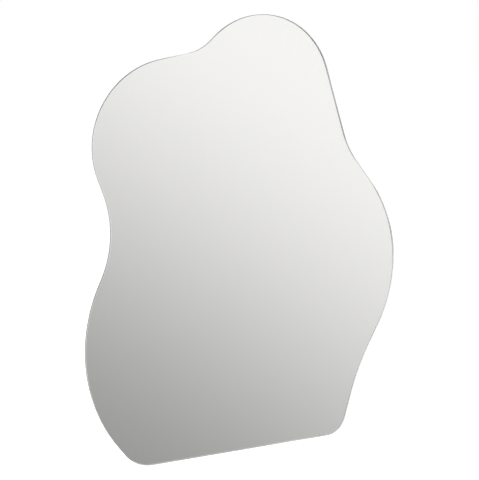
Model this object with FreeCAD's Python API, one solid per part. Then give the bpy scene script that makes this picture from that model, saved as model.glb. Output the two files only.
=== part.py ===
"""Frameless irregular wall mirror, 700 x 900 mm.

A freely shaped pane of mirror glass is taped and glued to a smaller backing board, which hangs
on two D-ring strap hangers and stands off the wall on four rubber bumpers.

Frame: millimetres, +Z up, the mirror faces -Y. The wall plane is y = 0, and the origin is on it,
midway between the hangers at the height of their rings' pivots.
Heights in the values below are counted from the flat foot of the glass, and the model is then
lowered by HANG_HEIGHT. Distances named "off the board" are counted from the board's back face
towards the wall.
"""
import FreeCAD, Part
import math
import os

from FreeCAD import Vector

# ---- outline of the glass: five lobes, a flat foot, and hollows between the lobes
# A lobe has its centre and radius. A hollow has its radius and the lengths of the straight runs
# that join it to the lobe before and the lobe after it, going clockwise as seen from the front.
HIP_X = -4.0
HIP_HEIGHT = 244.0
HIP_RADIUS = 331.0
SHOULDER_X = -140.0
SHOULDER_HEIGHT = 647.0
SHOULDER_RADIUS = 171.0
CROWN_X = 47.0
CROWN_HEIGHT = 748.0
CROWN_RADIUS = 152.0
BULGE_X = 76.0
BULGE_HEIGHT = 375.0
BULGE_RADIUS = 289.0
FOOT_RIGHT_X = 206.0
FOOT_RIGHT_RADIUS = 45.0
FOOT_LEFT_RADIUS = 72.0
FOOT_LEFT_RUN = 22.0
LEFT_WAIST_RADIUS = 219.0
LEFT_WAIST_RUN_FROM_HIP = 4.0
LEFT_WAIST_RUN_TO_SHOULDER = 28.0
NECK_RADIUS = 94.0
NECK_RUN_FROM_SHOULDER = 58.0
NECK_RUN_TO_CROWN = 6.0
RIGHT_WAIST_RADIUS = 195.0
RIGHT_WAIST_RUN_FROM_CROWN = 140.0
RIGHT_WAIST_RUN_TO_BULGE = 55.0
SHIN_RADIUS = 550.0
SHIN_RUN_FROM_BULGE = 48.0
SHIN_RUN_TO_FOOT = 55.0

# ---- mirror glass and what is coated on its back
GLASS_THICKNESS = 5.0
GLASS_FRONT_ARRIS = 0.8
GLASS_BACK_ARRIS = 0.2
COAT_THICKNESS = 0.1
COAT_EDGE_SETBACK = 0.25
COAT_CLEARANCE = 0.05
FILM_THICKNESS = 0.2
FILM_EDGE_SETBACK = 5.0

# ---- backing board, and the tape and adhesive that hold the glass to it
BOARD_THICKNESS = 9.0
BOARD_EDGE_SETBACK = 30.0
BOARD_CHAMFER = 1.5
TAPE_THICKNESS = 1.6
TAPE_WIDTH = 25.0
TAPE_SPACING = 88.0
TAPE_END_MARGIN = 22.0
TAPE_FIELD_CENTRE_X = -30.0
TAPE_NAMES = ("tape_far_left", "tape_left", "tape_middle", "tape_right", "tape_far_right")
BEAD_WIDTH = 8.0
BEAD_CORNER_RADIUS = 3.6
BEAD_END_MARGIN = 60.0
BEAD_NAMES = ("adhesive_far_left", "adhesive_left", "adhesive_right", "adhesive_far_right")

# ---- rubber bumpers on the board's back, one in each outer lobe
BUMPER_HEIGHT = 8.0
BUMPER_BASE_RADIUS = 10.0
BUMPER_FACE_RADIUS = 8.5
BUMPER_FILLET = 0.8
BUMPER_EDGE_DISTANCE = 28.0

# ---- strap hangers: a steel strip folded round the ring's bar and screwed through both layers
HANG_HEIGHT = 690.0
HANGER_SPACING = 300.0
STRAP_WIDTH = 19.0
STRAP_SHEET = 1.2
STRAP_LENGTH = 52.0
STRAP_FOLD_GAP = 0.1
STRAP_CORNER = 4.0
STRAP_LOOP_TURN = 60.0
STRAP_THROAT_RADIUS = 1.6
SCREW_FIRST = 28.0
SCREW_PITCH = 15.0
SCREW_HOLE_CLEARANCE = 0.25

# ---- D-rings
WIRE_RADIUS = 1.5
WIRE_RUNNING_CLEARANCE = 0.08
RING_SIDE_PLAY = 0.5
RING_CORNER_RADIUS = 3.0
RING_LEG = 3.0
RING_REST_CLEARANCE = 0.3

# ---- pan-head wood screws
SCREW_RADIUS = 2.0
SCREW_LENGTH = 10.0
SCREW_POINT = 3.0
SCREW_HEAD_RADIUS = 4.0
SCREW_HEAD_HEIGHT = 2.4
SCREW_HEAD_FILLET = 1.1
SCREW_TIP_RADIUS = 0.25
RECESS_WIDTH = 1.0
RECESS_SPAN = 4.4
RECESS_DEPTH = 1.3
PILOT_CLEARANCE = 0.05
PILOT_EXTRA_DEPTH = 0.3

# ---- places that follow from the sizes: the stack is counted from the wall, y = 0
BOARD_BACK = -BUMPER_HEIGHT
BOARD_FRONT = BOARD_BACK - BOARD_THICKNESS
FILM_BACK = BOARD_FRONT - TAPE_THICKNESS
PAINT_BACK = FILM_BACK - FILM_THICKNESS
SILVER_BACK = PAINT_BACK - COAT_THICKNESS
SILVER_FRONT = SILVER_BACK - COAT_THICKNESS
GLASS_BACK = SILVER_FRONT - COAT_CLEARANCE
LOOP_INNER_RADIUS = WIRE_RADIUS + WIRE_RUNNING_CLEARANCE
PIVOT_OFF_BOARD = STRAP_SHEET + LOOP_INNER_RADIUS
PIVOT_Y = BOARD_BACK + PIVOT_OFF_BOARD
STRAP_TOP = 2 * STRAP_SHEET + STRAP_FOLD_GAP
BAR_HALF = STRAP_WIDTH / 2 + RING_SIDE_PLAY
RING_BOW_RADIUS = BAR_HALF + RING_CORNER_RADIUS
RING_REACH = RING_CORNER_RADIUS + RING_LEG + RING_BOW_RADIUS
RING_REST_LIFT = STRAP_TOP + WIRE_RADIUS + RING_REST_CLEARANCE - PIVOT_OFF_BOARD
RING_REST_ANGLE = math.degrees(math.asin(RING_REST_LIFT / RING_REACH))
RING_TOP_DROP = PIVOT_OFF_BOARD - WIRE_RADIUS - RING_REST_CLEARANCE
RING_TOP_ANGLE = 180.0 + math.degrees(math.asin(RING_TOP_DROP / RING_REACH))
RING_TRAVEL = RING_TOP_ANGLE - RING_REST_ANGLE

LOBE = 1
HOLLOW = -1

# The directions of the bumpers in their lobes, in degrees from +X towards +Z.
CROWN_BUMPER_DIRECTION = 48.0
SHOULDER_BUMPER_DIRECTION = 132.0
FOOT_LEFT_BUMPER_DIRECTION = 225.0
FOOT_RIGHT_BUMPER_DIRECTION = 315.0


def at(x, y, height):
    """A point of the model, from its height above the foot of the glass."""
    return Vector(x, y, height - HANG_HEIGHT)


def hollow_between(before, after, radius, run_before, run_after):
    """A hollow's circle, outside two lobes, from its radius and its two straight runs."""
    x1, z1, r1, side1 = before
    x2, z2, r2, side2 = after
    reach1 = math.hypot(r1 + radius, run_before)
    reach2 = math.hypot(r2 + radius, run_after)
    base = math.hypot(x2 - x1, z2 - z1)
    along = Vector(x2 - x1, 0, z2 - z1).normalize()
    outward = Vector(-along.z, 0, along.x)
    foot = (reach1 ** 2 - reach2 ** 2 + base ** 2) / (2 * base)
    centre = Vector(x1, 0, z1) + along * foot + outward * math.sqrt(reach1 ** 2 - foot ** 2)
    return (centre.x, centre.z, radius, HOLLOW)


def foot_left_x():
    """Where the left corner's circle stands on the foot line, a straight run away from the hip."""
    reach = math.hypot(HIP_RADIUS - FOOT_LEFT_RADIUS, FOOT_LEFT_RUN)
    rise = HIP_HEIGHT - FOOT_LEFT_RADIUS
    return HIP_X - math.sqrt(reach ** 2 - rise ** 2)


def outline_circles():
    """The circles that the outline runs round, clockwise from the left corner of the foot."""
    foot_left = (foot_left_x(), FOOT_LEFT_RADIUS, FOOT_LEFT_RADIUS, LOBE)
    hip = (HIP_X, HIP_HEIGHT, HIP_RADIUS, LOBE)
    shoulder = (SHOULDER_X, SHOULDER_HEIGHT, SHOULDER_RADIUS, LOBE)
    crown = (CROWN_X, CROWN_HEIGHT, CROWN_RADIUS, LOBE)
    bulge = (BULGE_X, BULGE_HEIGHT, BULGE_RADIUS, LOBE)
    foot_right = (FOOT_RIGHT_X, FOOT_RIGHT_RADIUS, FOOT_RIGHT_RADIUS, LOBE)
    left_waist = hollow_between(
        hip, shoulder, LEFT_WAIST_RADIUS, LEFT_WAIST_RUN_FROM_HIP, LEFT_WAIST_RUN_TO_SHOULDER
    )
    neck = hollow_between(
        shoulder, crown, NECK_RADIUS, NECK_RUN_FROM_SHOULDER, NECK_RUN_TO_CROWN
    )
    right_waist = hollow_between(
        crown, bulge, RIGHT_WAIST_RADIUS, RIGHT_WAIST_RUN_FROM_CROWN, RIGHT_WAIST_RUN_TO_BULGE
    )
    shin = hollow_between(bulge, foot_right, SHIN_RADIUS, SHIN_RUN_FROM_BULGE, SHIN_RUN_TO_FOOT)
    return [
        foot_left, hip, left_waist, shoulder, neck, crown, right_waist, bulge, shin, foot_right
    ]


def run_between(first, second):
    """The straight run that is tangent to two circles of the outline, walked clockwise."""
    x1, z1, r1, side1 = first
    x2, z2, r2, side2 = second
    along = Vector(x2 - x1, 0, z2 - z1).normalize()
    across = Vector(-along.z, 0, along.x)
    reach1 = side1 * r1
    reach2 = side2 * r2
    slope = (reach1 - reach2) / math.hypot(x2 - x1, z2 - z1)
    outward = along * slope + across * math.sqrt(1 - slope ** 2)
    start = Vector(x1, 0, z1) + outward * reach1
    end = Vector(x2, 0, z2) + outward * reach2
    return start, end


def inset_circles(inset):
    """The outline's circles, moved inwards: lobes shrink and hollows grow."""
    circles = []
    for x, height, radius, side in outline_circles():
        circles.append((x, height, radius - side * inset, side))
    return circles


def outline_wire(inset, y):
    """The closed outline of the glass, set back by inset, in the plane at y."""
    circles = inset_circles(inset)
    count = len(circles)
    runs = []
    for i in range(count):
        runs.append(run_between(circles[i], circles[(i + 1) % count]))
    edges = []
    for i in range(count):
        x, height, radius, side = circles[i]
        centre = Vector(x, 0, height)
        arrive = runs[i - 1][1]
        leave, land = runs[i]
        middle = ((arrive - centre) + (leave - centre)).normalize() * radius + centre
        lift = at(0, y, 0)
        edges.append(Part.Arc(arrive + lift, middle + lift, leave + lift).toShape())
        edges.append(Part.makeLine(leave + lift, land + lift))
    return Part.Wire(edges)


def outline_plate(inset, front, back):
    """A plate with the glass's outline, set back by inset, between two planes."""
    face = Part.Face(outline_wire(inset, front))
    return face.extrude(Vector(0, back - front, 0))


def edges_in_plane(solid, y):
    """The edges that lie in the plane at y."""
    found = []
    for edge in solid.Edges:
        box = edge.BoundBox
        if abs(box.YMin - y) < 1e-4 and abs(box.YMax - y) < 1e-4:
            found.append(edge)
    return found


def upright(x, y, height, radius, length):
    """A cylinder that runs from y towards the wall."""
    return Part.makeCylinder(radius, length, at(x, y, height), Vector(0, 1, 0))


def mirror_glass():
    """Float glass with a polished edge, a fine arris in front and a finer one at the back."""
    front = GLASS_BACK - GLASS_THICKNESS
    pane = outline_plate(0, front, GLASS_BACK)
    pane = pane.makeChamfer(GLASS_FRONT_ARRIS, edges_in_plane(pane, front))
    return pane.makeChamfer(GLASS_BACK_ARRIS, edges_in_plane(pane, GLASS_BACK))


def silver_layer():
    """The reflecting coat on the back of the glass."""
    return outline_plate(COAT_EDGE_SETBACK, SILVER_FRONT, SILVER_BACK)


def paint_coat():
    """The protective paint over the silver."""
    return outline_plate(COAT_EDGE_SETBACK, SILVER_BACK, PAINT_BACK)


def safety_film():
    """Self-adhesive woven film that holds the pieces if the glass breaks."""
    return outline_plate(FILM_EDGE_SETBACK, PAINT_BACK, FILM_BACK)


def pilot_holes():
    """Blind holes in the board for the strap screws."""
    depth = SCREW_LENGTH - STRAP_TOP + PILOT_EXTRA_DEPTH
    radius = SCREW_RADIUS + PILOT_CLEARANCE
    holes = []
    for x in hanger_places():
        for height in screw_heights():
            holes.append(upright(x, BOARD_BACK - depth, height, radius, depth))
    return holes


def backing_board():
    """Fibre board cut to the same outline, set back out of sight, with a chamfered back edge."""
    plate = outline_plate(BOARD_EDGE_SETBACK, BOARD_FRONT, BOARD_BACK)
    plate = plate.makeChamfer(BOARD_CHAMFER, edges_in_plane(plate, BOARD_BACK))
    return plate.cut(pilot_holes())


def board_span(x):
    """The lowest and highest point of the board on the upright line at x."""
    board = Part.Face(outline_wire(BOARD_EDGE_SETBACK, BOARD_FRONT))
    below = at(x, BOARD_FRONT, -CROWN_HEIGHT)
    above = at(x, BOARD_FRONT, CROWN_HEIGHT + 2 * CROWN_RADIUS)
    line = Part.makeLine(below, above)
    pieces = board.common(line).Edges
    longest = max(pieces, key=lambda edge: edge.Length)
    return longest.BoundBox.ZMin, longest.BoundBox.ZMax


def upright_strip(x, width, margin):
    """A strip between film and board, cut square inside the board's edge."""
    spans = [board_span(x - width / 2), board_span(x), board_span(x + width / 2)]
    bottom = max(low for low, high in spans) + margin
    top = min(high for low, high in spans) - margin
    corner = Vector(x - width / 2, FILM_BACK, bottom)
    return Part.makeBox(width, TAPE_THICKNESS, top - bottom, corner)


def tape_strips():
    """Double-sided foam tape, in evenly spaced upright strips."""
    middle = (len(TAPE_NAMES) - 1) / 2
    strips = {}
    for i, name in enumerate(TAPE_NAMES):
        x = TAPE_FIELD_CENTRE_X + (i - middle) * TAPE_SPACING
        strips[name] = upright_strip(x, TAPE_WIDTH, TAPE_END_MARGIN)
    return strips


def adhesive_beads():
    """Mirror adhesive, pressed flat, in the gaps between the tapes."""
    middle = (len(BEAD_NAMES) - 1) / 2
    beads = {}
    for i, name in enumerate(BEAD_NAMES):
        x = TAPE_FIELD_CENTRE_X + (i - middle) * TAPE_SPACING
        bead = upright_strip(x, BEAD_WIDTH, BEAD_END_MARGIN)
        corners = [edge for edge in bead.Edges if abs(edge.Length - TAPE_THICKNESS) < 1e-6]
        beads[name] = bead.makeFillet(BEAD_CORNER_RADIUS, corners)
    return beads


def bumper(lobe_x, lobe_height, lobe_radius, direction):
    """A rubber bumper on the board, near the edge of a lobe; its face touches the wall."""
    turn = math.radians(direction)
    out = lobe_radius - BOARD_EDGE_SETBACK - BUMPER_EDGE_DISTANCE
    x = lobe_x + out * math.cos(turn)
    base = at(x, BOARD_BACK, lobe_height + out * math.sin(turn))
    cone = Part.makeCone(
        BUMPER_BASE_RADIUS, BUMPER_FACE_RADIUS, BUMPER_HEIGHT, base, Vector(0, 1, 0)
    )
    return cone.makeFillet(BUMPER_FILLET, edges_in_plane(cone, 0))


def bumpers():
    """The four bumpers: crown, shoulder and the two corners of the foot."""
    left = foot_left_x()
    return {
        "bumper_crown": bumper(CROWN_X, CROWN_HEIGHT, CROWN_RADIUS, CROWN_BUMPER_DIRECTION),
        "bumper_shoulder": bumper(
            SHOULDER_X, SHOULDER_HEIGHT, SHOULDER_RADIUS, SHOULDER_BUMPER_DIRECTION
        ),
        "bumper_foot_left": bumper(
            left, FOOT_LEFT_RADIUS, FOOT_LEFT_RADIUS, FOOT_LEFT_BUMPER_DIRECTION
        ),
        "bumper_foot_right": bumper(
            FOOT_RIGHT_X, FOOT_RIGHT_RADIUS, FOOT_RIGHT_RADIUS, FOOT_RIGHT_BUMPER_DIRECTION
        ),
    }


def hanger_places():
    """The two hangers' places along X."""
    return (-HANGER_SPACING / 2, HANGER_SPACING / 2)


def screw_heights():
    """The heights of a strap's two screws."""
    return (HANG_HEIGHT - SCREW_FIRST, HANG_HEIGHT - SCREW_FIRST - SCREW_PITCH)


def arc_through(centre, radius, start, end):
    """An arc in the YZ plane about a centre, between two angles from +Y towards +Z."""
    points = []
    for angle in (start, (start + end) / 2, end):
        turn = math.radians(angle)
        points.append(centre + Vector(0, math.cos(turn), math.sin(turn)) * radius)
    return Part.Arc(*points).toShape()


def strap_section():
    """The folded strip seen from its side, with the pivot at the origin."""
    turn = math.radians(STRAP_LOOP_TURN)
    board = -PIVOT_OFF_BOARD
    back_face = board + STRAP_SHEET
    front_back = back_face + STRAP_FOLD_GAP
    front_face = board + STRAP_TOP
    end = -STRAP_LENGTH
    outer = LOOP_INNER_RADIUS + STRAP_SHEET
    wide = STRAP_THROAT_RADIUS + STRAP_SHEET
    leave = Vector(0, math.cos(turn), -math.sin(turn))
    heading = Vector(0, -math.sin(turn), -math.cos(turn))
    fall = outer * math.cos(turn) - front_face - STRAP_THROAT_RADIUS * (1 - math.cos(turn))
    slant = heading * (fall / math.sin(turn))
    bend_top = leave * outer + slant
    bend_height = bend_top.z - STRAP_THROAT_RADIUS * math.sin(turn)
    bend = Vector(0, front_face + STRAP_THROAT_RADIUS, bend_height)
    pivot = Vector(0, 0, 0)
    board_side = 180.0
    front_start = board_side - STRAP_LOOP_TURN
    edges = [
        Part.makeLine(Vector(0, board, end), Vector(0, board, 0)),
        arc_through(pivot, outer, board_side, -STRAP_LOOP_TURN),
        Part.makeLine(leave * outer, bend_top),
        arc_through(bend, STRAP_THROAT_RADIUS, front_start, board_side),
        Part.makeLine(Vector(0, front_face, bend_height), Vector(0, front_face, end)),
        Part.makeLine(Vector(0, front_face, end), Vector(0, front_back, end)),
        Part.makeLine(Vector(0, front_back, end), Vector(0, front_back, bend_height)),
        arc_through(bend, wide, board_side, front_start),
        Part.makeLine(leave * LOOP_INNER_RADIUS + slant, leave * LOOP_INNER_RADIUS),
        arc_through(pivot, LOOP_INNER_RADIUS, -STRAP_LOOP_TURN, board_side),
        Part.makeLine(Vector(0, back_face, 0), Vector(0, back_face, end)),
        Part.makeLine(Vector(0, back_face, end), Vector(0, board, end)),
    ]
    return Part.Face(Part.Wire(edges))


def hanger_strap(x):
    """One strap: the folded strip, its lower corners rounded and its screw holes punched."""
    pivot = at(x, PIVOT_Y, HANG_HEIGHT)
    section = strap_section()
    section.translate(pivot - Vector(STRAP_WIDTH / 2, 0, 0))
    strap = section.extrude(Vector(STRAP_WIDTH, 0, 0))
    bottom = pivot.z - STRAP_LENGTH
    corners = []
    for edge in strap.Edges:
        box = edge.BoundBox
        short_run = abs(edge.Length - STRAP_SHEET) < 1e-6
        if short_run and abs(box.ZMin - bottom) < 1e-6 and abs(box.ZMax - bottom) < 1e-6:
            corners.append(edge)
    strap = strap.makeFillet(STRAP_CORNER, corners)
    holes = []
    for height in screw_heights():
        radius = SCREW_RADIUS + SCREW_HOLE_CLEARANCE
        holes.append(upright(x, BOARD_BACK, height, radius, STRAP_TOP))
    return strap.cut(holes)


def recess_slot(middle, width, height):
    """One of the two crossing slots of a screw's recess, centred on a point of its floor."""
    corner = middle - Vector(width / 2, 0, height / 2)
    return Part.makeBox(width, RECESS_DEPTH, height, corner)


def strap_screw(x, height):
    """A pan-head wood screw with a cross recess."""
    seat = BOARD_BACK + STRAP_TOP
    towards_wall = Vector(0, 1, 0)
    shank_length = SCREW_LENGTH - SCREW_POINT
    shank = upright(x, seat - shank_length, height, SCREW_RADIUS, shank_length)
    tip = at(x, seat - SCREW_LENGTH, height)
    point = Part.makeCone(SCREW_TIP_RADIUS, SCREW_RADIUS, SCREW_POINT, tip, towards_wall)
    head = upright(x, seat, height, SCREW_HEAD_RADIUS, SCREW_HEAD_HEIGHT)
    top = seat + SCREW_HEAD_HEIGHT
    head = head.makeFillet(SCREW_HEAD_FILLET, edges_in_plane(head, top))
    screw = head.fuse([shank, point]).removeSplitter()
    middle = at(x, top - RECESS_DEPTH, height)
    level = recess_slot(middle, RECESS_SPAN, RECESS_WIDTH)
    plumb = recess_slot(middle, RECESS_WIDTH, RECESS_SPAN)
    return screw.cut([level, plumb])


def strap_screws(x):
    """The two screws of one strap, as separate solids."""
    return Part.makeCompound([strap_screw(x, height) for height in screw_heights()])


def ring_path():
    """The D-ring's centre line, hanging straight down from its bar at the origin."""
    half = BAR_HALF
    corner = RING_CORNER_RADIUS
    side = RING_BOW_RADIUS
    bow_height = -corner - RING_LEG
    diagonal = corner * math.sqrt(0.5)
    right_middle = Vector(half + diagonal, 0, -corner + diagonal)
    left_middle = Vector(-half - diagonal, 0, -corner + diagonal)
    right_top = Vector(side, 0, -corner)
    left_top = Vector(-side, 0, -corner)
    right_bow = Vector(side, 0, bow_height)
    left_bow = Vector(-side, 0, bow_height)
    lowest = Vector(0, 0, -RING_REACH)
    return Part.Wire([
        Part.makeLine(Vector(-half, 0, 0), Vector(half, 0, 0)),
        Part.Arc(Vector(half, 0, 0), right_middle, right_top).toShape(),
        Part.makeLine(right_top, right_bow),
        Part.Arc(right_bow, lowest, left_bow).toShape(),
        Part.makeLine(left_bow, left_top),
        Part.Arc(left_top, left_middle, Vector(-half, 0, 0)).toShape(),
    ])


def hanger_ring(x):
    """One D-ring of round wire, let down until it lies on its strap."""
    start = Vector(-BAR_HALF, 0, 0)
    section = Part.Wire(Part.makeCircle(WIRE_RADIUS, start, Vector(1, 0, 0)))
    ring = ring_path().makePipeShell([section], True, True)
    ring = Part.Solid(ring) if ring.ShapeType == "Shell" else ring
    ring.rotate(Vector(0, 0, 0), Vector(1, 0, 0), RING_REST_ANGLE)
    ring.translate(at(x, PIVOT_Y, HANG_HEIGHT))
    return ring


def all_parts():
    """Every piece of the mirror, front to back, by its name."""
    left, right = hanger_places()
    parts = {
        "mirror_glass": mirror_glass(),
        "silver_layer": silver_layer(),
        "paint_coat": paint_coat(),
        "safety_film": safety_film(),
    }
    parts.update(tape_strips())
    parts.update(adhesive_beads())
    parts["backing_board"] = backing_board()
    parts.update(bumpers())
    parts["left_hanger_strap"] = hanger_strap(left)
    parts["right_hanger_strap"] = hanger_strap(right)
    parts["left_strap_screws"] = strap_screws(left)
    parts["right_strap_screws"] = strap_screws(right)
    parts["left_ring"] = hanger_ring(left)
    parts["right_ring"] = hanger_ring(right)
    return parts


os.makedirs("parts", exist_ok=True)
for name, shape in all_parts().items():
    shape.exportStep(f"parts/{name}.step")
print(f"ring rests at {RING_REST_ANGLE:.2f} degrees and swings up by {RING_TRAVEL:.2f} degrees")
print(f"ring pivot at y = {PIVOT_Y:.3f} mm")
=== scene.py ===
"""Looks of the frameless irregular wall mirror, in the order in which it is put together."""
import math

import bmesh
import bpy
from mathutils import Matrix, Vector


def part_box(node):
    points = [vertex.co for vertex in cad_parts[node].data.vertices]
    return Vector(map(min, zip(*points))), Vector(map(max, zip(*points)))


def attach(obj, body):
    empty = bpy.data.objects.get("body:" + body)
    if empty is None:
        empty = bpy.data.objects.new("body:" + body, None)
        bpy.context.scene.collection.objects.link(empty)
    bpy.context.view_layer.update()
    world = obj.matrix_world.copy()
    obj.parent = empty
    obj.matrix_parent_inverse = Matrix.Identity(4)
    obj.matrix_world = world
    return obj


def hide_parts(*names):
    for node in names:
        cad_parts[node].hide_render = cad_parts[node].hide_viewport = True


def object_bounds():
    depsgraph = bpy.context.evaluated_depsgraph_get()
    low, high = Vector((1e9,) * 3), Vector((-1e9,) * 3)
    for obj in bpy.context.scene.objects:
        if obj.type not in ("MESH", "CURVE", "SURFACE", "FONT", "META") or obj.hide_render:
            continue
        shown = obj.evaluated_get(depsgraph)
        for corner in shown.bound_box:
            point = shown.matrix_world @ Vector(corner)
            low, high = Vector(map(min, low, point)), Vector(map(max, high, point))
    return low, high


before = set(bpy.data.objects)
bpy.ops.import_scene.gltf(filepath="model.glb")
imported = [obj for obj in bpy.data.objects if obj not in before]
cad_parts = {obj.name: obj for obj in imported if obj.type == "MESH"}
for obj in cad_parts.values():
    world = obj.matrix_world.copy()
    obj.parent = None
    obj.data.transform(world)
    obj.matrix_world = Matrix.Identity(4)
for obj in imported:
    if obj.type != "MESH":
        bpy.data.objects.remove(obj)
cad_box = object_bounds()

# ---------------------------------------------------------------------------------- glass pane
# A pane of 5 mm float glass with flawless faces. The wheel leaves faint lines in the polish of its
# edge and two arrises. The colour of the edge and arrises holds a painted reflection: dark along
# the upper edge, lighter in the neck, pale in the middle and darker towards the foot.
GLASS_TINT = (0.988, 0.990, 0.987, 1.0)
# Painted reflection: the edge's colour by height, dark high up, pale in the middle, darker at the
# foot.
EDGE_PAINTED_REFLECTION = (
    (-0.58, (0.44, 0.46, 0.45)),
    (-0.44, (0.90, 0.93, 0.915)),
    (-0.02, (0.90, 0.93, 0.915)),
    (0.10, (0.055, 0.06, 0.06)),
)
EDGE_PATCHES_PER_METRE = 30.0
EDGE_PATCH_REACH = 0.05
NECK = (-0.095, -0.0215, 0.155)
# Within these distances of the neck, the edge's painted reflection is moved towards its lighter
# tones.
NECK_PAINTED_LIGHT_FULL = 0.035
NECK_REACH = 0.075
NECK_HEIGHT_SHARE = 0.17
GLASS_INDEX = 1.52
FACE_ROUGHNESS = 0.0
EDGE_ROUGHNESS_LEAST = 0.06
EDGE_ROUGHNESS_MOST = 0.20
ARRIS_FACING = 0.9
EDGE_SPECKLES_PER_METRE = 900.0
WHEEL_LINES_PER_METRE = 5200.0
WHEEL_LINE_SHAPE = (0.02, 1.0, 0.02)
WHEEL_DEPTH = 0.000004


def add(tree, kind, inputs=None, **settings):
    """Adds a shader node, with plain values or links for its inputs, by name or by number."""
    made = tree.nodes.new("ShaderNode" + kind)
    for name, value in settings.items():
        setattr(made, name, value)
    for name, value in (inputs or {}).items():
        if isinstance(value, bpy.types.NodeSocket):
            tree.links.new(value, made.inputs[name])
        else:
            made.inputs[name].default_value = value
    return made


def finish_named(name, **surface):
    """A new material, with the constants of its surface set; gives it, its tree and its shader."""
    material = bpy.data.materials.new(name)
    material.use_nodes = True
    tree = material.node_tree
    shader = tree.nodes["Principled BSDF"]
    for socket, value in surface.items():
        shader.inputs[socket.replace("_", " ")].default_value = value
    return material, tree, shader


def place(tree):
    """Where a point is on the mirror, in metres, the same at every pose."""
    return add(tree, "TexCoord").outputs["Object"]


def join(tree, value, shader, socket):
    """Feeds a value that changes over the surface to the shader."""
    tree.links.new(value, shader.inputs[socket])


def dress(material, *nodes):
    """Gives a finish to pieces that come from the construction model."""
    for name in nodes:
        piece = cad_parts[name]
        piece.data.materials.clear()
        piece.data.materials.append(material)


def calculate(tree, operation, *values, **settings):
    """One step of arithmetic on numbers that change with place or direction."""
    return add(tree, "Math", dict(enumerate(values)), operation=operation, **settings).outputs[0]


def edge_of_sheet(tree):
    """1 on the edge and its arrises, 0 on the two faces."""
    normal = add(tree, "NewGeometry").outputs["Normal"]
    across = add(tree, "SeparateXYZ", {0: normal}).outputs["Y"]
    return calculate(tree, "LESS_THAN", calculate(tree, "ABSOLUTE", across), ARRIS_FACING)


def blend_tones(tree, factor, first, second):
    """A colour between two, by a factor that changes over the surface."""
    return add(
        tree, "Mix", {"Factor": factor, 6: first, 7: second}, data_type="RGBA"
    ).outputs[2]


def toned_along(tree, value, stops):
    """A colour that changes along a value, by stops of a value and a colour each."""
    first = stops[0][0]
    span = stops[-1][0] - first
    along = add(tree, "MapRange", {0: value, 1: first, 2: first + span})
    shade = add(tree, "ValToRGB", {0: along.outputs[0]})
    ramp = shade.color_ramp
    while len(ramp.elements) < len(stops):
        ramp.elements.new(0.5)
    for stop, (spot, tone) in zip(ramp.elements, stops):
        stop.position = (spot - first) / span
        stop.color = (*tone, 1.0)
    return shade.outputs[0]


def glass_finish():
    """Clear glass with flawless faces and a softly polished edge, with a painted reflection in the
    edge's colour.
    """
    material, tree, shader = finish_named(
        "float_glass", Transmission_Weight=1.0, IOR=GLASS_INDEX, Metallic=0.0
    )
    edge = edge_of_sheet(tree)
    spot = place(tree)
    lines = add(tree, "Mapping", {0: spot, "Scale": WHEEL_LINE_SHAPE}).outputs[0]
    wheel = add(tree, "TexNoise", {"Vector": lines, "Scale": WHEEL_LINES_PER_METRE, "Detail": 2.0})
    speckle = add(
        tree, "TexNoise", {"Vector": spot, "Scale": EDGE_SPECKLES_PER_METRE, "Detail": 3.0}
    )
    height = add(tree, "SeparateXYZ", {0: spot}).outputs["Z"]
    patches = add(tree, "TexNoise", {"Vector": spot, "Scale": EDGE_PATCHES_PER_METRE}).outputs[0]
    patches = calculate(tree, "SUBTRACT", patches, 0.5)
    uneven = calculate(tree, "MULTIPLY_ADD", patches, EDGE_PATCH_REACH, height)
    from_neck = add(tree, "VectorMath", {0: spot, 1: NECK}, operation="DISTANCE").outputs["Value"]
    # Painted reflection: the edge is painted lighter near the neck.
    neck_painted_light = add(tree, "MapRange", {0: from_neck, 1: NECK_PAINTED_LIGHT_FULL, 2: NECK_REACH, 3: 1.0, 4: 0.0})
    uneven = calculate(tree, "MULTIPLY_ADD", neck_painted_light.outputs[0], -NECK_HEIGHT_SHARE, uneven)
    # The edge gets the painted reflection tones, with random patches; the faces keep the glass
    # tint.
    tone = blend_tones(tree, edge, GLASS_TINT, toned_along(tree, uneven, EDGE_PAINTED_REFLECTION))
    rough = add(
        tree,
        "MapRange",
        {0: speckle.outputs[0], 1: 0.3, 2: 0.7, 3: EDGE_ROUGHNESS_LEAST, 4: EDGE_ROUGHNESS_MOST},
    ).outputs[0]
    rough = add(tree, "Mix", {"Factor": edge, 2: FACE_ROUGHNESS, 3: rough}).outputs[0]
    bump = add(
        tree, "Bump", {"Strength": edge, "Distance": WHEEL_DEPTH, "Height": wheel.outputs[0]}
    ).outputs[0]
    join(tree, tone, shader, "Base Color")
    join(tree, rough, shader, "Roughness")
    join(tree, bump, shader, "Normal")
    return material


dress(glass_finish(), "mirror_glass")

# ---------------------------------------------------------------------------------- silver layer
# Silver is poured on the back of the pane from solution, and a film of copper or tin seals it.
# It stops just short of the back arris, where the grinding took it off.
SILVER_TONE = (0.966, 0.964, 0.958, 1.0)
SILVER_TONE_DEEP = (0.962, 0.960, 0.953, 1.0)
SILVER_CLOUDS_PER_METRE = 4.0
SILVER_ROUGHNESS = 0.0


def silver_finish():
    """A mirror of even tone, with the faint clouds of the silvering bath."""
    material, tree, shader = finish_named("silver", Metallic=1.0, Roughness=SILVER_ROUGHNESS)
    cloud = add(
        tree,
        "TexNoise",
        {"Vector": place(tree), "Scale": SILVER_CLOUDS_PER_METRE, "Detail": 2.0},
    ).outputs[0]
    join(tree, blend_tones(tree, cloud, SILVER_TONE, SILVER_TONE_DEEP), shader, "Base Color")
    return material


dress(silver_finish(), "silver_layer")

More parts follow.
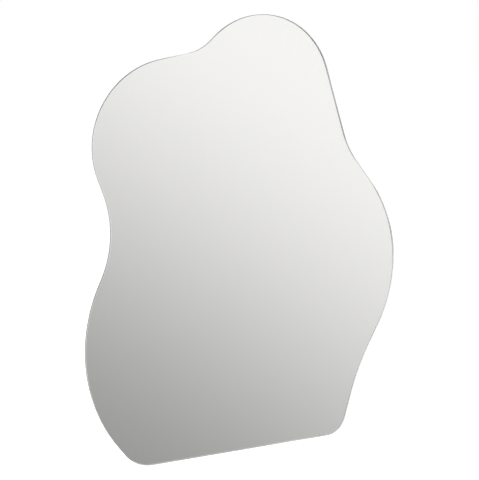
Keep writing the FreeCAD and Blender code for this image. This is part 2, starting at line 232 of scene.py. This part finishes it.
# ------------------------------------------------------------------------------------ paint coat
# Two coats of grey backing paint go over the silver by curtain coater and are baked on.
# They dry satin, with a slight orange peel.
PAINT_TONE = (0.17, 0.19, 0.195, 1.0)
PAINT_TONE_LIGHT = (0.23, 0.25, 0.255, 1.0)
PEEL_PER_METRE = 420.0
PEEL_DEPTH = 0.00005
FINE_CLOUDS_TIMES = 9.0
FINE_CLOUD_SHARE = 0.35
CLOUD_SPREAD = 3.0


def shader_group(name, inputs, outputs):
    """An empty shader node group with named number inputs and outputs."""
    group = bpy.data.node_groups.new(name, "ShaderNodeTree")
    for label, value in inputs.items():
        socket = group.interface.new_socket(label, in_out="INPUT", socket_type="NodeSocketFloat")
        socket.default_value = value
    for label in outputs:
        group.interface.new_socket(label, in_out="OUTPUT", socket_type="NodeSocketFloat")
    group.nodes.new("NodeGroupInput")
    group.nodes.new("NodeGroupOutput")
    return group


def ends_of(group):
    """A group's inputs and its output node."""
    given = next(item for item in group.nodes if item.bl_idname == "NodeGroupInput").outputs
    result = next(item for item in group.nodes if item.bl_idname == "NodeGroupOutput")
    return given, result


def make_clouds():
    """Uneven tone of a large surface: broad clouds with finer ones over them, 0 to 1."""
    group = shader_group("clouds", {"Per Metre": 8.0, "Contrast": 1.0}, ["Tone"])
    given, result = ends_of(group)
    spot = place(group)
    broad = add(group, "TexNoise", {"Vector": spot, "Scale": given["Per Metre"], "Detail": 4.0})
    fine_scale = calculate(group, "MULTIPLY", given["Per Metre"], FINE_CLOUDS_TIMES)
    fine = add(group, "TexNoise", {"Vector": spot, "Scale": fine_scale, "Detail": 5.0})
    both = add(
        group, "Mix", {"Factor": FINE_CLOUD_SHARE, 2: broad.outputs[0], 3: fine.outputs[0]}
    ).outputs[0]
    centred = calculate(group, "SUBTRACT", both, 0.5)
    spread = calculate(group, "MULTIPLY", given["Contrast"], CLOUD_SPREAD)
    tone = calculate(group, "MULTIPLY_ADD", centred, spread, 0.5, use_clamp=True)
    group.links.new(tone, result.inputs["Tone"])
    return group


CLOUDS = make_clouds()


def use(tree, group, **values):
    """Places a shader node group in a material, with its own values."""
    made = tree.nodes.new("ShaderNodeGroup")
    made.node_tree = group
    for label, value in values.items():
        socket = made.inputs[label.replace("_", " ")]
        if isinstance(value, bpy.types.NodeSocket):
            tree.links.new(value, socket)
        else:
            socket.default_value = value
    return made


def between(tree, value, low, high):
    """A number from 0 to 1, moved to lie between two values."""
    return add(tree, "MapRange", {0: value, 3: low, 4: high}).outputs[0]


def bumped(tree, height, distance, strength=1.0):
    """The surface's normal, tipped by a height."""
    return add(
        tree, "Bump", {"Strength": strength, "Distance": distance, "Height": height}
    ).outputs[0]


def paint_finish():
    """Baked grey backing paint."""
    material, tree, shader = finish_named("mirror_paint", Metallic=0.0)
    tone = use(tree, CLOUDS, Per_Metre=30.0, Contrast=0.8).outputs[0]
    peel = add(
        tree, "TexNoise", {"Vector": place(tree), "Scale": PEEL_PER_METRE, "Detail": 1.0}
    ).outputs[0]
    join(tree, blend_tones(tree, tone, PAINT_TONE, PAINT_TONE_LIGHT), shader, "Base Color")
    join(tree, between(tree, tone, 0.34, 0.46), shader, "Roughness")
    join(tree, bumped(tree, peel, PEEL_DEPTH), shader, "Normal")
    return material


dress(paint_finish(), "paint_coat")

# ----------------------------------------------------------------------------------- safety film
# A woven plastic film with its own adhesive is rolled on over the paint and trimmed with a knife.
# Its flat tapes cross over and under each other in a plain weave, and it shines a little.
FILM_TONE = (0.60, 0.62, 0.63, 1.0)
# Painted shade: the colour of the weave's low parts, where one tape dips under the other.
FILM_TONE_SHADED = (0.40, 0.42, 0.43, 1.0)
WEAVE_PITCH = 0.0030
WEAVE_DEPTH = 0.00018
FILM_CLOUD_SHARE = 0.3


def wave_along(tree, along, length):
    """A wave from -1 to 1 of a given length along one direction."""
    angle = calculate(tree, "MULTIPLY", along, 2 * math.pi / length)
    return calculate(tree, "SINE", angle)


def lifted(tree, wave):
    """A wave from -1 to 1, moved to lie between 0 and 1."""
    return add(tree, "MapRange", {0: wave, 1: -1.0, 2: 1.0}).outputs[0]


def film_finish():
    """Woven safety film, seen from the back."""
    material, tree, shader = finish_named("safety_film", Metallic=0.0, Coat_Weight=0.15)
    spot = add(tree, "SeparateXYZ", {0: place(tree)}).outputs
    warp = lifted(tree, wave_along(tree, spot["X"], WEAVE_PITCH))
    weft = lifted(tree, wave_along(tree, spot["Z"], WEAVE_PITCH))
    over_x = wave_along(tree, spot["X"], 2 * WEAVE_PITCH)
    over_z = wave_along(tree, spot["Z"], 2 * WEAVE_PITCH)
    weft_above = lifted(tree, calculate(tree, "MULTIPLY", over_x, over_z))
    height = add(tree, "Mix", {"Factor": weft_above, 2: warp, 3: weft}).outputs[0]
    clouds = use(tree, CLOUDS, Per_Metre=14.0, Contrast=0.7).outputs[0]
    # Painted shade in the weave's low parts, with clouds of random tone over it.
    shade = add(tree, "Mix", {"Factor": FILM_CLOUD_SHARE, 2: height, 3: clouds}).outputs[0]
    join(tree, blend_tones(tree, shade, FILM_TONE_SHADED, FILM_TONE), shader, "Base Color")
    join(tree, between(tree, clouds, 0.32, 0.48), shader, "Roughness")
    join(tree, bumped(tree, height, WEAVE_DEPTH), shader, "Normal")
    return material


dress(film_finish(), "safety_film")

# ------------------------------------------------------------------------ foam tape and adhesive
# Upright strips of white double-sided foam tape hold the pane to the board while the beads of
# neutral mirror adhesive between them cure. Only their ends show, from close below and above.
TAPES = ("tape_far_left", "tape_left", "tape_middle", "tape_right", "tape_far_right")
BEADS = ("adhesive_far_left", "adhesive_left", "adhesive_right", "adhesive_far_right")
FOAM_TONE = (0.80, 0.80, 0.78, 1.0)
# Painted shade: the colour in the pits of the cut-open bubbles.
FOAM_PIT_SHADE_TONE = (0.66, 0.66, 0.64, 1.0)
FOAM_CELLS_PER_METRE = 2600.0
FOAM_CELL_DEPTH = 0.00012
ADHESIVE_TONE = (0.62, 0.60, 0.54, 1.0)
ADHESIVE_TONE_DEEP = (0.50, 0.48, 0.42, 1.0)
ADHESIVE_RIPPLE_DEPTH = 0.0002


def foam_finish():
    """Closed-cell foam, with its small bubbles cut open at the edges."""
    material, tree, shader = finish_named("foam_tape", Metallic=0.0)
    cells = add(
        tree, "TexVoronoi", {"Vector": place(tree), "Scale": FOAM_CELLS_PER_METRE}
    ).outputs["Distance"]
    # Painted shade: the foam is coloured darker in the pits of its cells.
    join(tree, blend_tones(tree, cells, FOAM_PIT_SHADE_TONE, FOAM_TONE), shader, "Base Color")
    join(tree, between(tree, cells, 0.9, 0.7), shader, "Roughness")
    join(tree, bumped(tree, cells, FOAM_CELL_DEPTH), shader, "Normal")
    return material


def adhesive_finish():
    """Cured adhesive, slightly glossy and a little cloudy."""
    material, tree, shader = finish_named("adhesive", Metallic=0.0)
    tone = use(tree, CLOUDS, Per_Metre=90.0, Contrast=1.0).outputs[0]
    join(tree, blend_tones(tree, tone, ADHESIVE_TONE, ADHESIVE_TONE_DEEP), shader, "Base Color")
    join(tree, between(tree, tone, 0.28, 0.5), shader, "Roughness")
    join(tree, bumped(tree, tone, ADHESIVE_RIPPLE_DEPTH), shader, "Normal")
    return material


dress(foam_finish(), *TAPES)
dress(adhesive_finish(), *BEADS)

# --------------------------------------------------------------------------------- backing board
# Raw fibre board, 9 mm thick, routed to the pane's outline but smaller. Its sanded face is tan
# with darker and paler flecks of fibre, and the routed edge and chamfer are darker and furry.
BOARD_TONE = (0.47, 0.335, 0.215, 1.0)
BOARD_TONE_PALE = (0.54, 0.40, 0.27, 1.0)
BOARD_TONE_EDGE = (0.30, 0.195, 0.115, 1.0)
FLECK_DARK = (0.22, 0.135, 0.075, 1.0)
FLECK_PALE = (0.72, 0.58, 0.42, 1.0)
FIBRE_DEPTH = 0.00005
DARK_FIBRES_PER_METRE = 2100.0
PALE_FIBRES_PER_METRE = 1300.0
FIBRE_TURNS = (0.5, 1.5, 2.6)
FIBRE_SHAPE = (1.0, 1.0, 0.13)
BENDS_PER_METRE = 130.0
BEND_REACH = (0.010, 0.010, 0.010)
FIBRE_TOP = 0.78
FIBRE_FULL = 0.80
PALE_FLECK_SHARE = 0.35
DARK_FLECK_SHARE = 0.55
EDGE_SHARE = 0.75


def smooth_step(tree, value, low, high):
    """0 below one value, 1 above another, and a smooth change between them."""
    return add(
        tree, "MapRange", {0: value, 1: low, 2: high}, interpolation_type="SMOOTHSTEP"
    ).outputs[0]


def make_fibres():
    """Short bent fibres that lie every way, 0 to 1."""
    group = shader_group("fibres", {"Per Metre": 500.0, "Share": 0.3}, ["Flecks", "Height"])
    given, result = ends_of(group)
    spot = place(group)
    drift = add(group, "TexNoise", {"Vector": spot, "Scale": BENDS_PER_METRE, "Detail": 2.0})
    bent = add(
        group, "VectorMath", {0: drift.outputs[1], 1: BEND_REACH}, operation="MULTIPLY"
    ).outputs[0]
    moved = add(group, "VectorMath", {0: spot, 1: bent}, operation="ADD").outputs[0]
    most = None
    for turn in FIBRE_TURNS:
        laid = add(
            group, "Mapping", {0: moved, "Rotation": (0.0, turn, 0.0), "Scale": FIBRE_SHAPE}
        ).outputs[0]
        noise = add(
            group, "TexNoise", {"Vector": laid, "Scale": given["Per Metre"], "Detail": 2.0}
        ).outputs[0]
        most = noise if most is None else calculate(group, "MAXIMUM", most, noise)
    start = calculate(group, "SUBTRACT", FIBRE_TOP, given["Share"])
    flecks = smooth_step(group, most, start, FIBRE_FULL)
    group.links.new(flecks, result.inputs["Flecks"])
    group.links.new(most, result.inputs["Height"])
    return group


FIBRES = make_fibres()


def board_finish():
    """Sanded fibre board with routed edges."""
    material, tree, shader = finish_named("fibre_board", Metallic=0.0)
    clouds = use(tree, CLOUDS, Per_Metre=22.0, Contrast=0.55).outputs[0]
    dark = use(tree, FIBRES, Per_Metre=DARK_FIBRES_PER_METRE, Share=0.12).outputs
    pale = use(tree, FIBRES, Per_Metre=PALE_FIBRES_PER_METRE, Share=0.12).outputs
    tone = blend_tones(tree, clouds, BOARD_TONE, BOARD_TONE_PALE)
    pale_share = calculate(tree, "MULTIPLY", pale[0], PALE_FLECK_SHARE)
    tone = blend_tones(tree, pale_share, tone, FLECK_PALE)
    dark_share = calculate(tree, "MULTIPLY", dark[0], DARK_FLECK_SHARE)
    tone = blend_tones(tree, dark_share, tone, FLECK_DARK)
    edge = calculate(tree, "MULTIPLY", edge_of_sheet(tree), EDGE_SHARE)
    join(tree, blend_tones(tree, edge, tone, BOARD_TONE_EDGE), shader, "Base Color")
    join(tree, between(tree, clouds, 0.58, 0.76), shader, "Roughness")
    join(tree, bumped(tree, dark[1], FIBRE_DEPTH), shader, "Normal")
    return material


dress(board_finish(), "backing_board")

# --------------------------------------------------------------------------------------- bumpers
# Four moulded rubber bumpers stick to the board near its edge and lean on the wall. Each is a
# round pad with a drafted side, a rounded rim and a small dish in its top from the mould.
# Rubber keeps the fine matt grain of its mould, and dust settles on it.
PANEL = "panel"
BUMPERS = ("bumper_crown", "bumper_shoulder", "bumper_foot_left", "bumper_foot_right")
BUMPER_TOP_SHARE = 0.85
BUMPER_RIM = 0.0008
BUMPER_RIM_STEPS = 5
BUMPER_DISH_RADIUS = 0.0042
BUMPER_DISH_DEPTH = 0.0007
BUMPER_DISH_STEPS = ((0.0006, 0.8), (0.0012, 1.0))
BUMPER_SHARP_ANGLE = math.radians(35.0)
BUMPER_SIDES = 72
RUBBER_TONE = (0.018, 0.018, 0.019, 1.0)
RUBBER_DUST = (0.09, 0.088, 0.085, 1.0)
RUBBER_GRAINS_PER_METRE = 2200.0
RUBBER_GRAIN_DEPTH = 0.00006


def rubber_finish():
    """Matt black rubber with a little dust."""
    material, tree, shader = finish_named("rubber", Metallic=0.0)
    dust = use(tree, CLOUDS, Per_Metre=160.0, Contrast=1.2).outputs[0]
    grain = add(
        tree,
        "TexNoise",
        {"Vector": place(tree), "Scale": RUBBER_GRAINS_PER_METRE, "Detail": 2.0},
    )
    join(tree, blend_tones(tree, dust, RUBBER_TONE, RUBBER_DUST), shader, "Base Color")
    join(tree, between(tree, dust, 0.55, 0.8), shader, "Roughness")
    join(tree, bumped(tree, grain.outputs[0], RUBBER_GRAIN_DEPTH), shader, "Normal")
    return material


def bumper_profile(radius, thickness):
    """A bumper's half section from its glued base to the middle of its top, radius and height."""
    top = radius * BUMPER_TOP_SHARE
    line = [(0.0, 0.0), (radius, 0.0)]
    for step in range(BUMPER_RIM_STEPS + 1):
        angle = math.pi / 2 * step / BUMPER_RIM_STEPS
        out = top - BUMPER_RIM * (1 - math.cos(angle))
        line.append((out, thickness - BUMPER_RIM * (1 - math.sin(angle))))
    line.append((BUMPER_DISH_RADIUS, thickness))
    for inwards, share in BUMPER_DISH_STEPS:
        line.append((BUMPER_DISH_RADIUS - inwards, thickness - BUMPER_DISH_DEPTH * share))
    line.append((0.0, thickness - BUMPER_DISH_DEPTH))
    return line


def mould_bumper(node, rubber):
    """A round bumper in the place of the plain one, with its base on the board."""
    low, high = (Vector(corner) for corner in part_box(node))
    middle = (low + high) / 2
    profile = bumper_profile((high.x - low.x) / 2, high.y - low.y)
    mould = bmesh.new()
    rings = []
    for out, height in profile:
        turns = BUMPER_SIDES if out > 0 else 1
        ring = []
        for turn in range(turns):
            angle = 2 * math.pi * turn / turns
            spot = Vector((out * math.cos(angle), 0.0, out * math.sin(angle)))
            ring.append(mould.verts.new(Vector((middle.x, low.y + height, middle.z)) + spot))
        rings.append(ring)
    for first, second in zip(rings, rings[1:]):
        for turn in range(BUMPER_SIDES):
            after = turn + 1
            corners = [
                first[turn % len(first)],
                first[after % len(first)],
                second[after % len(second)],
                second[turn % len(second)],
            ]
            mould.faces.new(dict.fromkeys(corners))
    bmesh.ops.recalc_face_normals(mould, faces=mould.faces)
    mesh = bpy.data.meshes.new(node + "_moulded")
    mould.to_mesh(mesh)
    mould.free()
    mesh.shade_smooth()
    mesh.set_sharp_from_angle(angle=BUMPER_SHARP_ANGLE)
    mesh.materials.append(rubber)
    bumper = bpy.data.objects.new(node + "_moulded", mesh)
    bpy.context.collection.objects.link(bumper)
    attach(bumper, PANEL)
    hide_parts(node)


RUBBER = rubber_finish()
for bumper_node in BUMPERS:
    mould_bumper(bumper_node, RUBBER)

# -------------------------------------------------------------------------------- strap hangers
# Each strap is punched from 1.2 mm steel strip, folded round its ring's bar, and zinc-plated in a
# barrel, which leaves it bright with small knocks. Pan-head screws hold it to the board.
STRAPS = ("left_hanger_strap", "right_hanger_strap")
SCREWS = ("left_strap_screws", "right_strap_screws")
RINGS = ("left_ring", "right_ring")
ZINC_TONE = (0.74, 0.75, 0.77, 1.0)
ZINC_TONE_DULL = (0.56, 0.57, 0.60, 1.0)
ZINC_WORN = (0.86, 0.86, 0.86, 1.0)
SCREW_TONE = (0.60, 0.585, 0.54, 1.0)
SCREW_TONE_DULL = (0.42, 0.40, 0.35, 1.0)
WIRE_TONE = (0.78, 0.78, 0.79, 1.0)
WIRE_TONE_DULL = (0.60, 0.60, 0.62, 1.0)
WEAR_WIDTH = 0.0006
WEAR_BREAKS_PER_METRE = 1400.0
WEAR_SAMENESS = (0.995, 0.88)
WORN_ROUGHNESS = 0.15
PLATING_CLOUDS_PER_METRE = 120.0
ROUGHNESS_REACH = 0.08
KNOCK_DEPTH = 0.000012
EDGE_ROUNDING = 0.00025
SHARP_EDGE_ANGLE = math.radians(40.0)


def make_wear():
    """Bright wear where edges rub: 1 on sharp edges, broken up by a fine noise."""
    group = shader_group("edge wear", {"Width": 0.0005, "Break Up": 900.0}, ["Wear"])
    given, result = ends_of(group)
    flat = add(group, "NewGeometry").outputs["Normal"]
    round_normal = add(group, "Bevel", {"Radius": given["Width"]}, samples=4).outputs[0]
    same = add(
        group, "VectorMath", {0: flat, 1: round_normal}, operation="DOT_PRODUCT"
    ).outputs["Value"]
    edge = smooth_step(group, same, *WEAR_SAMENESS)
    noise = add(
        group, "TexNoise", {"Vector": place(group), "Scale": given["Break Up"], "Detail": 4.0}
    ).outputs[0]
    broken = add(group, "MapRange", {0: noise, 1: 0.35, 2: 0.6}).outputs[0]
    group.links.new(calculate(group, "MULTIPLY", edge, broken), result.inputs["Wear"])
    return group


WEAR = make_wear()


def plated_finish(name, bright, dull, grain_per_metre, roughness):
    """Zinc-plated steel: bright, cloudy, with knocks and rubbed edges."""
    material, tree, shader = finish_named(name, Metallic=1.0)
    clouds = use(tree, CLOUDS, Per_Metre=PLATING_CLOUDS_PER_METRE, Contrast=1.1).outputs[0]
    wear = use(tree, WEAR, Width=WEAR_WIDTH, Break_Up=WEAR_BREAKS_PER_METRE).outputs[0]
    knocks = add(
        tree, "TexVoronoi", {"Vector": place(tree), "Scale": grain_per_metre}
    ).outputs["Distance"]
    tone = blend_tones(tree, clouds, bright, dull)
    join(tree, blend_tones(tree, wear, tone, ZINC_WORN), shader, "Base Color")
    plain = between(tree, clouds, roughness - ROUGHNESS_REACH, roughness + ROUGHNESS_REACH)
    rough = add(tree, "Mix", {"Factor": wear, 2: plain, 3: WORN_ROUGHNESS}).outputs[0]
    join(tree, rough, shader, "Roughness")
    join(tree, bumped(tree, knocks, KNOCK_DEPTH), shader, "Normal")
    return material


def soften_edges(*nodes):
    """The small rounding that the barrel leaves on punched edges."""
    for name in nodes:
        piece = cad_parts[name]
        bevel = piece.modifiers.new("rounding", "BEVEL")
        bevel.width = EDGE_ROUNDING
        bevel.segments = 2
        bevel.limit_method = "ANGLE"
        bevel.angle_limit = SHARP_EDGE_ANGLE
        bevel.harden_normals = True


dress(plated_finish("zinc_steel", ZINC_TONE, ZINC_TONE_DULL, 900.0, 0.26), *STRAPS)
dress(plated_finish("screw_steel", SCREW_TONE, SCREW_TONE_DULL, 1500.0, 0.24), *SCREWS)
dress(plated_finish("ring_wire", WIRE_TONE, WIRE_TONE_DULL, 1100.0, 0.20), *RINGS)
soften_edges(*STRAPS)

# ------------------------------------------------------------------------------------------ floor
# A plain pale floor, well below the mirror, which hangs as on its wall. It is white to the
# camera apart from the soft shadow that falls on it, and can't be seen from below.
FLOOR_DROP = 0.75
FLOOR_SIZE = 60.0
FLOOR_TONE = (0.80, 0.80, 0.80, 1.0)
FLOOR_LIFT = 0.60


def floor_finish():
    """A pale diffuse floor that shows white to the camera where no shadow falls."""
    material = bpy.data.materials.new("floor")
    material.use_nodes = True
    tree = material.node_tree
    tree.nodes.clear()
    path = add(tree, "LightPath").outputs
    seen = calculate(tree, "MAXIMUM", path["Is Camera Ray"], path["Is Glossy Ray"])
    seen = calculate(tree, "MAXIMUM", seen, path["Is Transmission Ray"])
    matt = add(tree, "BsdfDiffuse", {"Color": FLOOR_TONE}).outputs[0]
    lift = calculate(tree, "MULTIPLY", seen, FLOOR_LIFT)
    glow = add(tree, "Emission", {"Strength": lift}).outputs[0]
    both = add(tree, "AddShader", {0: matt, 1: glow}).outputs[0]
    clear = add(tree, "BsdfTransparent").outputs[0]
    under = add(tree, "NewGeometry").outputs["Backfacing"]
    surface = add(tree, "MixShader", {0: under, 1: both, 2: clear}).outputs[0]
    result = add(tree, "OutputMaterial")
    tree.links.new(surface, result.inputs["Surface"])
    return material


def make_floor():
    """A large square floor."""
    half = FLOOR_SIZE / 2
    height = cad_box[0].z - FLOOR_DROP
    corners = [(-half, -half, height), (half, -half, height), (half, half, height)]
    corners.append((-half, half, height))
    mesh = bpy.data.meshes.new("floor")
    mesh.from_pydata(corners, [], [(0, 1, 2, 3)])
    mesh.materials.append(floor_finish())
    floor = bpy.data.objects.new("floor", mesh)
    bpy.context.collection.objects.link(floor)
    floor.visible_glossy = False
    floor.visible_transmission = False


make_floor()

# ----------------------------------------------------------------------------------------- studio
# A white studio. The screen that shows in the glass is grey low in the middle and brightens upwards
# and to both sides, above a white ground. Behind the mirror the studio is white at eye level, and
# its ground and ceiling are darker. What the glass edge takes in comes out after many reflections.
SCREEN_SIDEWAYS = 0.6
SCREEN_UPWARDS = 0.8
SCREEN_MIDDLE = 0.1
SCREEN_RISE = (-0.17, 0.275)
SCREEN_DARK = (0.305, 0.305, 0.305, 1.0)
SCREEN_BRIGHT = (0.968, 0.960, 0.951, 1.0)
FRONT_GROUND_LEVEL = 1.0
FRONT_GROUND_BELOW = 0.42
FRONT_GROUND_BELOW_AT = (-0.90, -0.50)
SCREEN_FOOT = (-0.48, -0.40)
BACK_STARTS = (-0.1, 0.15)
GROUND_LEVEL = 0.42
GROUND_ENDS = (-0.6, -0.1)
CEILING_LEVEL = 0.30
CEILING_STARTS = (0.35, 0.75)
SOFT_LIGHT = 0.62
SEEN_WHITE = (1.0, 1.0, 1.0, 1.0)
REFLECTIONS = 64
MIRROR_MIDDLE = Vector((0.0, 0.0, -0.3))
SOFT_LAMPS = (
    ("front_lamp", Vector((-1.8, -2.2, 2.2)), 1.8),
    ("back_lamp", Vector((1.9, 2.4, 1.9)), 1.6),
)
SOFT_LAMP_WATTS = 60.0


def grey(level):
    """A neutral colour."""
    return (level, level, level, 1.0)


def screen_place(tree, way):
    """How far up the screen's brightening a direction looks."""
    sideways = calculate(tree, "MULTIPLY", way["X"], way["X"])
    sideways = calculate(tree, "ADD", sideways, SCREEN_MIDDLE ** 2)
    sideways = calculate(tree, "SQRT", sideways)
    sideways = calculate(tree, "MULTIPLY", sideways, SCREEN_SIDEWAYS)
    return calculate(tree, "MULTIPLY_ADD", way["Z"], SCREEN_UPWARDS, sideways)


def screen_light(tree, way):
    """The screen's light in each direction, a little warmer where it is brighter."""
    risen = smooth_step(tree, screen_place(tree, way), *SCREEN_RISE)
    return blend_tones(tree, risen, SCREEN_DARK, SCREEN_BRIGHT)


def make_world():
    """The studio's light: by direction for what shines or is clear, even for the rest."""
    world = bpy.data.worlds.new("studio")
    world.use_nodes = True
    tree = world.node_tree
    tree.nodes.clear()
    way = add(tree, "SeparateXYZ", {0: add(tree, "TexCoord").outputs["Generated"]}).outputs
    behind = smooth_step(tree, way["Y"], *BACK_STARTS)
    wall = smooth_step(tree, way["Z"], *GROUND_ENDS)
    back_wall = blend_tones(tree, wall, grey(GROUND_LEVEL), SEEN_WHITE)
    overhead = smooth_step(tree, way["Z"], *CEILING_STARTS)
    back_wall = blend_tones(tree, overhead, back_wall, grey(CEILING_LEVEL))
    far = smooth_step(tree, way["Z"], *FRONT_GROUND_BELOW_AT)
    front_ground = blend_tones(tree, far, grey(FRONT_GROUND_BELOW), grey(FRONT_GROUND_LEVEL))
    upright = smooth_step(tree, way["Z"], *SCREEN_FOOT)
    screen = blend_tones(tree, upright, front_ground, screen_light(tree, way))
    around = blend_tones(tree, behind, screen, back_wall)
    path = add(tree, "LightPath").outputs
    sharp = calculate(tree, "MAXIMUM", path["Is Glossy Ray"], path["Is Transmission Ray"])
    light = blend_tones(tree, sharp, grey(SOFT_LIGHT), around)
    light = blend_tones(tree, path["Is Camera Ray"], light, SEEN_WHITE)
    back = add(tree, "Background", {"Color": light, "Strength": 1.0})
    result = add(tree, "OutputWorld")
    tree.links.new(back.outputs[0], result.inputs["Surface"])
    bpy.context.scene.world = world


def soft_lamp(name, spot, size):
    """A large soft lamp, which doesn't show in the glass."""
    data = bpy.data.lights.new(name, "AREA")
    data.shape = "SQUARE"
    data.size = size
    data.energy = SOFT_LAMP_WATTS
    lamp = bpy.data.objects.new(name, data)
    lamp.location = spot
    lamp.rotation_mode = "QUATERNION"
    lamp.rotation_quaternion = (MIRROR_MIDDLE - spot).to_track_quat("-Z", "Y")
    lamp.visible_glossy = False
    lamp.visible_transmission = False
    bpy.context.collection.objects.link(lamp)


def follow_reflections():
    """Lets light run on between the faces of the pane until it comes out."""
    limits = bpy.context.scene.cycles
    limits.max_bounces = REFLECTIONS
    limits.glossy_bounces = REFLECTIONS
    limits.transmission_bounces = REFLECTIONS


make_world()
follow_reflections()
for lamp_name, lamp_spot, lamp_size in SOFT_LAMPS:
    soft_lamp(lamp_name, lamp_spot, lamp_size)

# ----------------------------------------------------------------------------------------- camera
# The camera looks down on the mirror from the left, 2.3 m from the middle of the glass. From there
# the mirror's outline falls where the photograph shows it.
CAMERA_AZIMUTH = math.radians(-24.77)
CAMERA_ELEVATION = math.radians(10.74)
CAMERA_DISTANCE = 2.2855
CAMERA_ANGLE = math.radians(24.0)
CAMERA_AIM = Vector((-0.0058, cad_box[0].y, -0.2392))


def make_camera():
    """The photograph's camera."""
    level = math.cos(CAMERA_ELEVATION)
    back = Vector((
        math.sin(CAMERA_AZIMUTH) * level,
        -math.cos(CAMERA_AZIMUTH) * level,
        math.sin(CAMERA_ELEVATION),
    ))
    data = bpy.data.cameras.new("camera")
    data.sensor_fit = "HORIZONTAL"
    data.angle = CAMERA_ANGLE
    camera = bpy.data.objects.new("camera", data)
    camera.location = CAMERA_AIM + back * CAMERA_DISTANCE
    camera.rotation_mode = "QUATERNION"
    camera.rotation_quaternion = (-back).to_track_quat("-Z", "Y")
    bpy.context.collection.objects.link(camera)
    bpy.context.scene.camera = camera


make_camera()
bpy.context.scene.view_settings.view_transform = "Standard"
